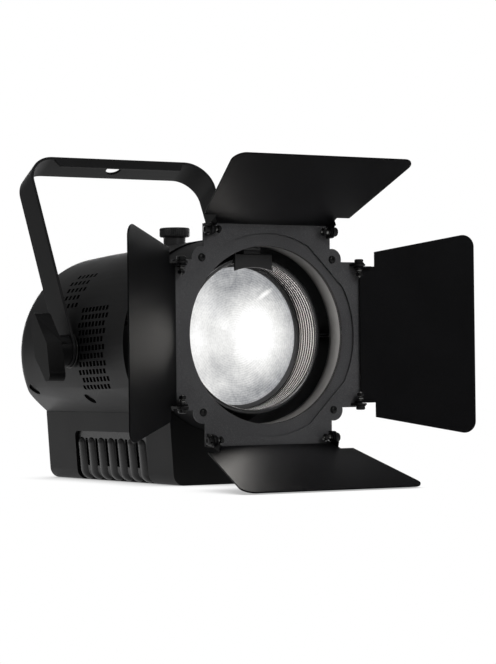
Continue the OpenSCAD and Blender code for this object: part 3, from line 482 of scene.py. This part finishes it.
# Crest faces get the painted highlight, groove faces the painted shade.
for f in bm.faces:
    at = f.calc_center_median() - tube_front
    r = math.hypot(at.x, at.z)
    if ribs_from < at.y < ribs_to and r < groove_limit_r:
        f.material_index = 1 if r < crest_limit_r else 2
    else:
        f.material_index = 0
put("lens_tube_ribbed", bm, "carriage", [tube_black, rib_crest_painted_highlight, groove_painted_shade], "lens_tube", sharp=50)
dress("lens_ring", lens_ring_coat)
eased("arm_block", collar_black, width=0.0008, segments=3)

# Fresnel lens: pressed glass with concentric prisms in front and a pebbled back, lit from behind.
# The prisms are turned steps around a domed centre. The glow is uneven, as the emitter shows through, and a
# thin bright streak in it is a painted reflection of a soft box.
lens_mid = Vector((0, -0.1574, lens_z))
lens_show_r, lens_edge_r, lens_face, lens_back = 0.0706, 0.0747, 0.0006, 0.0058
lens_dome = [(lens_face, 0.0), (0.0009, 0.005), (0.0017, 0.010), (0.0022, 0.013)]
prism_first, prism_pitch, prism_low, prism_high, prism_wall = 0.0132, 0.0024, 0.0009, 0.0017, 0.0002
lens_steps = 112
lens_glow = bpy.data.materials.new("lit_pressed_glass")
lens_glow.use_nodes = True
tree = lens_glow.node_tree
skin = tree.nodes["Principled BSDF"]
skin.inputs["Roughness"].default_value = 0.22
skin.inputs["IOR"].default_value = 1.5
skin.inputs["Specular IOR Level"].default_value = 0.2
skin.inputs["Emission Strength"].default_value = 1.0
n = place_nodes(tree, {
    "spot": ("ShaderNodeTexCoord", {}),
    "centre": ("ShaderNodeMapping", {"Location": -lens_mid}),
    "cloud": ("ShaderNodeTexNoise", {"Scale": 70.0, "Detail": 6.0, "Roughness": 0.7, "Distortion": 0.6}),
    "patch": ("ShaderNodeMapRange", {"From Min": 0.32, "From Max": 0.68, "To Min": 0.28, "To Max": 0.10}),
    "pebble": ("ShaderNodeTexVoronoi", {"Scale": 430.0}),
    "pebbled": ("ShaderNodeMath", {"operation": "MULTIPLY_ADD", 1: 0.14}),
    "rings": ("ShaderNodeTexWave", {"wave_type": "RINGS", "rings_direction": "Y", "Scale": 131.0,
                                    "Distortion": 0.0}),
    "ringed": ("ShaderNodeMath", {"operation": "MULTIPLY_ADD", 1: 0.055}),
    "tone": ("ShaderNodeValToRGB", {}),
    "dim": ("ShaderNodeVectorMath", {"operation": "SCALE", "Scale": 0.08}),
    "bump": ("ShaderNodeBump", {"Strength": 0.25, "Distance": 0.0004}),
})
stops = n["tone"].color_ramp.elements
stops[0].position, stops[0].color = 0.20, (0.25, 0.257, 0.272, 1)
stops[1].position, stops[1].color = 1.0, (1.0, 1.0, 1.0, 1)
for position, colour in ((0.45, (0.50, 0.505, 0.51, 1)), (0.75, (0.80, 0.80, 0.79, 1))):
    stops.new(position).color = colour
wire(tree,
     (n["spot"], "Object", n["centre"], "Vector"),
     (n["centre"], 0, n["cloud"], "Vector"),
     (n["cloud"], 0, n["patch"], "Value"),
     (n["centre"], 0, n["pebble"], "Vector"),
     (n["pebble"], 0, n["pebbled"], 0),
     (n["patch"], 0, n["pebbled"], 2),
     (n["centre"], 0, n["rings"], "Vector"),
     (n["rings"], 1, n["ringed"], 0),
     (n["pebbled"], 0, n["ringed"], 2),
     (n["tone"], 0, skin, "Emission Color"),
     (n["tone"], 0, n["dim"], 0),
     (n["dim"], 0, skin, "Base Color"),
     (n["pebble"], 0, n["bump"], "Height"),
     (n["bump"], "Normal", skin, "Normal"))
so_far = n["ringed"]
for name, middle, turn, reach, weight in (
    ("core", (0.0225, 0, 0.001), 0.0, (0.0525, 1, 0.055), 1.13),
    ("rim", (-0.042, 0, -0.006), 0.0, (0.040, 1, 0.110), 0.42),
    ("left", (-0.049, 0, -0.003), 0.0, (0.041, 1, 0.037), 0.32),
    ("low", (-0.013, 0, -0.049), 0.0, (0.042, 1, 0.018), 0.29),
    # The last spot is a painted reflection: a thin bright streak added to the glow.
    ("painted_reflection_streak", (0.0355, 0, 0.043), -0.55, (0.013, 1, 0.0034), 0.55),
):
    glow = place_nodes(tree, {
        name + "_at": ("ShaderNodeMapping", {"vector_type": "TEXTURE", "Location": middle,
                                             "Rotation": (0, turn, 0), "Scale": reach}),
        name: ("ShaderNodeTexGradient", {"gradient_type": "SPHERICAL"}),
        name + "_part": ("ShaderNodeMath", {"operation": "MULTIPLY_ADD", 1: weight}),
    })
    wire(tree,
         (n["centre"], 0, glow[name + "_at"], "Vector"),
         (glow[name + "_at"], 0, glow[name], 0),
         (glow[name], 1, glow[name + "_part"], 0),
         (so_far, 0, glow[name + "_part"], 2))
    so_far = glow[name + "_part"]
wire(tree, (so_far, 0, n["tone"], 0))

bm = bmesh.new()
line = list(lens_dome)
r = prism_first
while r + prism_pitch < lens_show_r:
    line += [(prism_low, r), (prism_high, r + prism_pitch - prism_wall)]
    r += prism_pitch
line += [(lens_face, r), (lens_face, lens_edge_r), (lens_back, lens_edge_r), (lens_back, 0.0)]
turned(bm, line, lens_mid, lengthwise, sideways, lens_steps)
put("fresnel_glass", closed(bm), "carriage", [lens_glow], "fresnel_lens", sharp=20)

# Zoom arm and stud: a blackened flat strip and a ground steel stud that lead from the lens tube to the knob.
# The strip is screwed to the block on the tube, and the stud passes through the cover's slot.
dress("zoom_arm", tube_black)
dress("zoom_stud", rod_steel)

# Zoom knob: a moulded lock knob with a knurled head on a plain collar, which turns on the stud.
# Every third point of the head's lower ring is drawn in, and the flutes run up its side.
zoom_grey = grained("zoom_knob_moulding", (0.02, 0.02, 0.0205), (0.034, 0.034, 0.035),
                    grain=1500.0, share=0.4, rough=0.42, swing=0.08, bump=0.08, gloss=0.2)
knob_low, knob_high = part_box("zoom_knob")
knob_mid = (knob_low + knob_high) / 2
collar_line = [(0, 0.0032), (0, 0.0112), (0.0008, 0.012), (0.0122, 0.012), (0.013, 0.0128), (0.0132, 0.0032)]
collar_high, collar_steps, knob_head_r = 0.013, 48, 0.0150
knurl_points, knurl_every, knurl_deep = 144, 3, 0.958
head_steps = ((1.066, 0.0009, True), (1.012, 0.0006, False), (1.0, 0.0066, False), (0.985, 0.0007, False),
              (0.952, 0.0009, False), (0.9, 0.0002, False), (0.97, -0.0007, False), (0.9, -0.0001, False))
hub = Vector((knob_mid.x, knob_mid.y, 0))
head_foot = Matrix.Translation((knob_mid.x, knob_mid.y, knob_low.z + collar_high))
bm = bmesh.new()
turned(bm, collar_line, (knob_mid.x, knob_mid.y, knob_low.z), upwards, sideways, collar_steps)
ring = bmesh.ops.create_circle(bm, cap_ends=False, radius=knob_head_r, segments=knurl_points,
                               matrix=head_foot)["verts"]
rim = list({e for v in ring for e in v.link_edges})
bmesh.ops.edgeloop_fill(bm, edges=rim)
for widen, rise, knurl in head_steps:
    ring, rim = grow(bm, rim)
    bmesh.ops.scale(bm, vec=(widen, widen, 1), verts=ring, space=Matrix.Translation(-hub))
    bmesh.ops.translate(bm, verts=ring, vec=(0, 0, rise))
    if knurl:
        ring.sort(key=lambda v: math.atan2(v.co.y - hub.y, v.co.x - hub.x))
        bmesh.ops.scale(bm, vec=(knurl_deep, knurl_deep, 1), verts=ring[::knurl_every],
                        space=Matrix.Translation(-hub))
bmesh.ops.edgeloop_fill(bm, edges=rim)
put("zoom_knob_knurled", closed(bm), "zoom_lock", [zoom_grey], "zoom_knob", sharp=30)

# Pivot bushes: turned steel bushes in the barrel's sides, with a friction flange and a spigot for the yoke.
# They are fixed in the casting, and the steel is bare and a little dull.
pivot_steel = grained("turned_steel", (0.035, 0.035, 0.034), (0.06, 0.06, 0.058),
                      grain=600.0, share=0.4, rough=0.3, swing=0.15, bump=0.03, gloss=0.5, metal=1.0)
eased("pivot_bushes", pivot_steel, width=0.0004)

# Yoke: flat steel strip, bent to a bracket, with a folded stiffening flange and a clamp hole in its bar.
# It swings on the two pivot bushes, and its black coat has a fine texture.
yoke_coat = grained("yoke_coat", (0.0088, 0.0088, 0.0093), (0.018, 0.018, 0.019),
                    grain=1300.0, share=0.5, rough=0.45, swing=0.1, bump=0.12, gloss=0.13)
eased("yoke", yoke_coat, width=0.0006, segments=3)

# Tilt knobs: moulded paddles on a round hub, screwed through the yoke into the pivot bushes.
# They are black nylon with well rounded edges, and clamp the yoke at its angle.
knob_black = grained("knob_moulding", (0.006, 0.006, 0.0062), (0.011, 0.011, 0.0114),
                     grain=1500.0, share=0.4, rough=0.38, swing=0.08, bump=0.08, gloss=0.09)
for node in ("tilt_knob_left", "tilt_knob_right"):
    eased(node, knob_black, width=0.0016, segments=3)

# Flank screws: blackened steel socket screws, sunk into the barrel's lower flanks.
# They hold the cover down on the tray.
screw_black = grained("black_oxide", (0.008, 0.008, 0.0085), (0.014, 0.014, 0.015),
                      grain=900.0, share=0.4, rough=0.38, swing=0.1, bump=0.04, gloss=0.4, metal=0.4)
eased("flank_screws", screw_black, width=0.0003)

# Barn-door frame: a lobed square of sheet steel with hinge lugs bent forward, on a retaining ring behind.
# The plate has the front ring's grey texture, and the lugs are painted blacker as painted shade. It turns on
# the front ring.
lug_painted_shade = grained("lug_painted_shade_coat", (0.003, 0.003, 0.0032), (0.007, 0.007, 0.0073),
                    grain=1400.0, share=0.4, rough=0.36, swing=0.08, bump=0.08, gloss=0.16)
plate_front, edge_out, lug_in, hem, on_edge = -0.2222, 0.110, 0.0701, 0.00045, 1e-4


def hemmed(at):
    """How far a corner of the plate's straight edges stands out, so that no light shows under the leaves."""
    x, z = at.x, at.z - lens_z
    if at.y > plate_front and abs(abs(z) - edge_out) < on_edge and abs(x) < lug_in:
        return Vector((0, 0, math.copysign(hem, z)))
    if at.y > plate_front and abs(abs(x) - edge_out) < on_edge and abs(z) < lug_in:
        return Vector((math.copysign(hem, x), 0, 0))
    return Vector()


def plate_or_lug(at, way):
    """0 the plate, 1 the lugs in front of it, which are painted darker as shade."""
    return int(at.y < plate_front)


eased("barn_frame", ring_coat, width=0.0005, segments=3, others=(lug_painted_shade,), pick=plate_or_lug, nudge=hemmed)
eased("frame_retainer", snout_coat, width=0.0004)

# Frame screws: blackened washer-head screws with a hexagon socket, one in each of the four lobes.
# They hold the retaining ring to the plate.
screw_gloss = grained("black_screw", (0.0022, 0.0022, 0.0024), (0.005, 0.005, 0.0052),
                      grain=900.0, share=0.4, rough=0.2, swing=0.08, bump=0.05, gloss=0.2)
screw_low, screw_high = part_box("frame_screws")
head_r, head_high, head_steps_round = 0.0040, 0.0020, 36
socket_r, socket_deep, socket_taper, socket_cone, socket_sides = 0.0016, 0.0014, 0.95, 0.0002, 6
head_line = [(0, socket_r), (0, 0.0021), (0.0003, 0.0028), (0.0009, 0.0033), (0.0013, 0.0034),
             (0.0013, 0.0038), (0.0015, head_r), (head_high, head_r), (head_high, 0)]
socket_line = [(0, socket_r), (socket_deep, socket_r * socket_taper), (socket_deep + socket_cone, 0)]
screw_out = (screw_high.x - screw_low.x) / 2 - head_r
bm = bmesh.new()
for side in (-1, 1):
    for rise in (-1, 1):
        at = (side * screw_out, screw_low.y, (screw_low.z + screw_high.z) / 2 + rise * screw_out)
        turned(bm, head_line, at, lengthwise, sideways, head_steps_round)
        turned(bm, socket_line, at, lengthwise, sideways, socket_sides)
put("frame_screws_socket", closed(bm), "barn", [screw_gloss], "frame_screws", sharp=28)

# Hinge bolts: plated steel bolts with a blackened washer, hexagon and fluted cap nut, two to each leaf.
# They clamp a leaf's ear against the frame's lug, so that the leaf stays where it is put.
bolt_steel = grained("zinc_bolt", (0.16, 0.16, 0.155), (0.32, 0.32, 0.31),
                     grain=900.0, share=0.5, rough=0.22, swing=0.2, bump=0.04, gloss=0.5, metal=1.0)
nut_black = grained("black_nut", (0.002, 0.002, 0.0022), (0.005, 0.005, 0.0053),
                    grain=900.0, share=0.5, rough=0.26, swing=0.1, bump=0.06, gloss=0.2)
lug_out, ear_in, shank_r = 0.072, 0.0672, 0.0019
hinge_y, hinge_out = -0.2297, 0.104
stem = [(ear_in - back, r) for back, r in (
    (0.0090, 0), (0.0090, 0.0013), (0.0084, shank_r), (0.0040, shank_r), (0.0026, 0.0034), (0.0018, 0.0034),
    (0.0016, 0.0022))] + [(lug_out, shank_r)]
washer = [(ear_in - back, r) for back, r in (
    (0.0012, shank_r), (0.0012, 0.0042), (0.0009, 0.0044), (0.0002, 0.0044), (0.0002, shank_r))]
hexagon = [(ear_in - back, r) for back, r in (
    (0.0076, 0.0017), (0.0076, 0.0034), (0.0070, 0.0040), (0.0050, 0.0040), (0.0044, 0.0034),
    (0.0044, 0.0017))]
cap = [(lug_out + out, r) for out, r in (
    (0, shank_r), (0, 0.0054), (0.0006, 0.0056), (0.0010, 0.0054), (0.0012, 0.0047), (0.0038, 0.0047),
    (0.0044, 0.0043), (0.0048, 0.0034), (0.0048, 0.0021), (0.0040, shank_r), (0.0040, 0))]
for node, turn in (
    ("hinge_bolts_top", 0),
    ("hinge_bolts_right", 90),
    ("hinge_bolts_bottom", 180),
    ("hinge_bolts_left", 270),
):
    bm = bmesh.new()
    for way in (1, -1):
        for line, steps, finish in ((stem, 28, 0), (washer, 28, 1), (hexagon, 6, 1), (cap, 14, 1)):
            before = set(bm.faces)
            turned(bm, line, (0, 0, 0), (way, 0, 0), upwards, steps)
            for f in set(bm.faces) - before:
                f.material_index = finish
    closed(bm)
    around = Matrix.Rotation(math.radians(turn), 4, "Y") @ Matrix.Translation((0, 0, hinge_out))
    bmesh.ops.transform(bm, matrix=Matrix.Translation((0, hinge_y, lens_z)) @ around, verts=bm.verts)
    put(node + "_set", bm, "barn", [bolt_steel, nut_black], node, sharp=24)

# Barn-door leaves: sheet steel leaves with turned ears, in a textured black coat with a faint fleck.
# Each hangs on its two hinge bolts and folds over the lens or back beside the lamp.
leaf_coat = grained("leaf_coat", (0.0024, 0.0024, 0.0027), (0.011, 0.0115, 0.0135),
                    grain=1900.0, share=0.55, rough=0.36, swing=0.08, bump=0.2, gloss=0.04)
for node in ("door_top", "door_right", "door_bottom", "door_left"):
    eased(node, leaf_coat, width=0.00045, segments=3)

# Rear panel: a coated steel plate with vent slots, which carries all connections.
# Six black screws hold it to the tray and the cover.
eased("rear_panel", plate_coat, width=0.0005)
eased("rear_screws", screw_black, width=0.0006, segments=3)

# Display: a dark window of smoked acrylic, cut flat and polished.
# It is seated in the panel's cut-out, above the buttons.
display_dark = grained("smoked_window", (0.004, 0.005, 0.008), (0.006, 0.008, 0.012),
                       grain=90.0, share=0.5, rough=0.08, swing=0.05, bump=0.01, gloss=0.5)
eased("display", display_dark, width=0.0003)

# Buttons: four grey rubber push buttons under the display.
# Each is moulded with a soft edge and springs back out of the panel.
button_grey = grained("button_rubber", (0.035, 0.035, 0.037), (0.05, 0.05, 0.052),
                      grain=1500.0, share=0.4, rough=0.55, swing=0.08, bump=0.1, gloss=0.4)
for node in ("button_1", "button_2", "button_3", "button_4"):
    eased(node, button_grey, width=0.0009, segments=4)

# Connections: blue and grey power sockets, nickel data sockets, a black fuse holder and a bent steel eye.
# The sockets and the holder are clipped or screwed into the panel, and the eye is welded to it.
power_blue = grained("blue_socket", (0.012, 0.06, 0.27), (0.02, 0.08, 0.33),
                     grain=1100.0, share=0.4, rough=0.4, swing=0.1, bump=0.06, gloss=0.5)
power_grey = grained("grey_socket", (0.28, 0.285, 0.29), (0.34, 0.345, 0.35),
                     grain=1100.0, share=0.4, rough=0.4, swing=0.1, bump=0.06, gloss=0.5)
data_nickel = grained("nickel_socket", (0.42, 0.42, 0.42), (0.52, 0.52, 0.52),
                      grain=800.0, share=0.4, rough=0.3, swing=0.15, bump=0.03, gloss=0.5, metal=1.0)
eased("power_in", power_blue, width=0.0005)
eased("power_out", power_grey, width=0.0005)
eased("data_in", data_nickel, width=0.0005)
eased("data_out", data_nickel, width=0.0005)
eased("fuse_holder", knob_black, width=0.0006, segments=3)
dress("safety_eye", rod_steel)

# Studio: a room that is white to the eye and dim as a light, with a pale backdrop for coats to mirror.
# The backdrop stands behind the lamp and is limited in height.
world = bpy.data.worlds.new("studio")
bpy.context.scene.world = world
world.use_nodes = True
tree = world.node_tree
sweep_way, sweep_squat = Vector((0.52, 0.85, 0.1)).normalized(), 2.4
room_level, room_sheen = 0.10, 0.15
n = place_nodes(tree, {
    "path": ("ShaderNodeLightPath", {}),
    "way": ("ShaderNodeTexCoord", {}),
    "squat": ("ShaderNodeMapping", {"Scale": (1, 1, sweep_squat)}),
    "unit": ("ShaderNodeVectorMath", {"operation": "NORMALIZE"}),
    "toward": ("ShaderNodeVectorMath", {"operation": "DOT_PRODUCT", 1: sweep_way}),
    "sweep": ("ShaderNodeMapRange", {"interpolation_type": "SMOOTHSTEP", "From Min": 0.74, "From Max": 0.95,
                                     "To Min": room_sheen, "To Max": 1.0}),
    "sheen": ("ShaderNodeMath", {"operation": "MULTIPLY"}),
    "seen": ("ShaderNodeMath", {"operation": "MAXIMUM"}),
    "seen_all": ("ShaderNodeMath", {"operation": "MAXIMUM"}),
    "level": ("ShaderNodeMapRange", {"To Min": room_level, "To Max": 1.0}),
})
wire(tree,
     (n["way"], "Generated", n["squat"], 0),
     (n["squat"], 0, n["unit"], 0),
     (n["unit"], 0, n["toward"], 0),
     (n["toward"], "Value", n["sweep"], "Value"),
     (n["sweep"], 0, n["sheen"], 0),
     (n["path"], "Is Glossy Ray", n["sheen"], 1),
     (n["path"], "Is Camera Ray", n["seen"], 0),
     (n["sheen"], 0, n["seen"], 1),
     (n["seen"], 0, n["seen_all"], 0),
     (n["path"], "Is Transmission Ray", n["seen_all"], 1),
     (n["seen_all"], 0, n["level"], "Value"),
     (n["level"], 0, tree.nodes["Background"], "Strength"))
tree.nodes["Background"].inputs["Color"].default_value = (1, 1, 1, 1)

# Floor: a wide pale sheet under the lamp, white to the eye, that keeps the lamp's soft shadow.
# Other light meets it as a plain matt surface.
floor_half = 9.0
bm = bmesh.new()
bmesh.ops.create_grid(bm, x_segments=2, y_segments=2, size=floor_half)
floor_mesh = bpy.data.meshes.new("floor")
bm.to_mesh(floor_mesh)
bm.free()
floor = bpy.data.objects.new("floor", floor_mesh)
bpy.context.scene.collection.objects.link(floor)
floor_white = bpy.data.materials.new("pale_floor")
floor_white.use_nodes = True
tree = floor_white.node_tree
tree.nodes.remove(tree.nodes["Principled BSDF"])
n = place_nodes(tree, {
    "path": ("ShaderNodeLightPath", {}),
    "shadow": ("ShaderNodeAmbientOcclusion", {"samples": 16, "Distance": 0.06}),
    "depth": ("ShaderNodeMapRange", {"From Min": 0.25, "From Max": 0.9, "To Min": 0.45, "To Max": 1.0}),
    "seen": ("ShaderNodeMath", {"operation": "MAXIMUM"}),
    "seen_all": ("ShaderNodeMath", {"operation": "MAXIMUM"}),
    "lit": ("ShaderNodeEmission", {}),
    "matt": ("ShaderNodeBsdfDiffuse", {"Color": (0.8, 0.8, 0.8, 1)}),
    "mix": ("ShaderNodeMixShader", {}),
})
wire(tree,
     (n["shadow"], "AO", n["depth"], "Value"),
     (n["depth"], 0, n["lit"], "Strength"),
     (n["path"], "Is Camera Ray", n["seen"], 0),
     (n["path"], "Is Glossy Ray", n["seen"], 1),
     (n["seen"], 0, n["seen_all"], 0),
     (n["path"], "Is Transmission Ray", n["seen_all"], 1),
     (n["seen_all"], 0, n["mix"], 0),
     (n["matt"], 0, n["mix"], 1),
     (n["lit"], 0, n["mix"], 2),
     (n["mix"], 0, tree.nodes["Material Output"], "Surface"))
floor_mesh.materials.append(floor_white)

# Lights: large soft boxes in front, above, at both sides and behind, all turned to the lamp's middle.
# The lens throws warm light too: one part that spreads, and a weak part that coats mirror as a sheen.
aim = Vector((0, -0.12, 0.16))
for name, spot, size, power in (
    ("soft_box_front", (0.2, -2.6, 1.5), 1.0, 36.0),
    ("soft_box_left", (-2.5, 0.1, 0.5), 1.3, 2.0),
    ("soft_box_top", (0.0, -0.2, 2.3), 1.4, 4.0),
    ("soft_box_right", (2.3, 1.3, 0.25), 0.9, 22.0),
    ("soft_box_back", (0.9, 2.6, 0.25), 0.9, 22.0),
):
    lamp = bpy.data.lights.new(name, "AREA")
    lamp.shape = "SQUARE"
    lamp.size = size
    lamp.energy = power
    stand = bpy.data.objects.new(name, lamp)
    stand.location = spot
    stand.rotation_euler = (aim - Vector(spot)).to_track_quat("-Z", "Y").to_euler()
    bpy.context.scene.collection.objects.link(stand)
warm, half_room = (1.0, 0.96, 0.91), math.radians(180)
for name, spot, size, power, mirrored in (
    ("lens_light", (0.023, -0.1606, 0.149), 0.1, 2.2, False),
    ("lens_sheen", (0, -0.1616, 0.147), 0.075, 0.11, True),
):
    lamp = bpy.data.lights.new(name, "AREA")
    lamp.shape = "DISK"
    lamp.size = size
    lamp.energy = power
    lamp.spread = half_room
    lamp.color = warm
    stand = bpy.data.objects.new(name, lamp)
    stand.location = spot
    stand.rotation_euler = Vector((0, -1, 0)).to_track_quat("-Z", "Y").to_euler()
    stand.visible_camera = False
    stand.visible_glossy = mirrored
    bpy.context.scene.collection.objects.link(stand)

# Camera: a long lens, low down and from the front left, as in the photograph.
# Its aim is set off a little to the side and up, and it is rolled by a fraction of a degree.
eye_at = Vector((-1.2380, -2.2480, 0.1143))
aim_right, aim_up, roll = -0.008768, 0.001255, math.radians(-0.63)
ahead = Vector((0.52136, 0.85318, 0.01588))
right = Vector((0.8533, -0.5214, 0)).normalized()
up = right.cross(ahead).normalized()
ahead = (ahead + aim_right * right + aim_up * up).normalized()
right = ahead.cross(Vector((0, 0, 1))).normalized()
up = right.cross(ahead)
cam_x = math.cos(roll) * right + math.sin(roll) * up
cam_y = -math.sin(roll) * right + math.cos(roll) * up
cam = bpy.data.cameras.new("camera")
cam.sensor_width = 36
cam.sensor_fit = "HORIZONTAL"
cam.lens = 172.35
eye = bpy.data.objects.new("camera", cam)
eye.matrix_world = Matrix.Translation(eye_at) @ Matrix((cam_x, cam_y, -ahead)).transposed().to_4x4()
bpy.context.scene.collection.objects.link(eye)
bpy.context.scene.camera = eye

bpy.context.scene.view_settings.view_transform = "Standard"
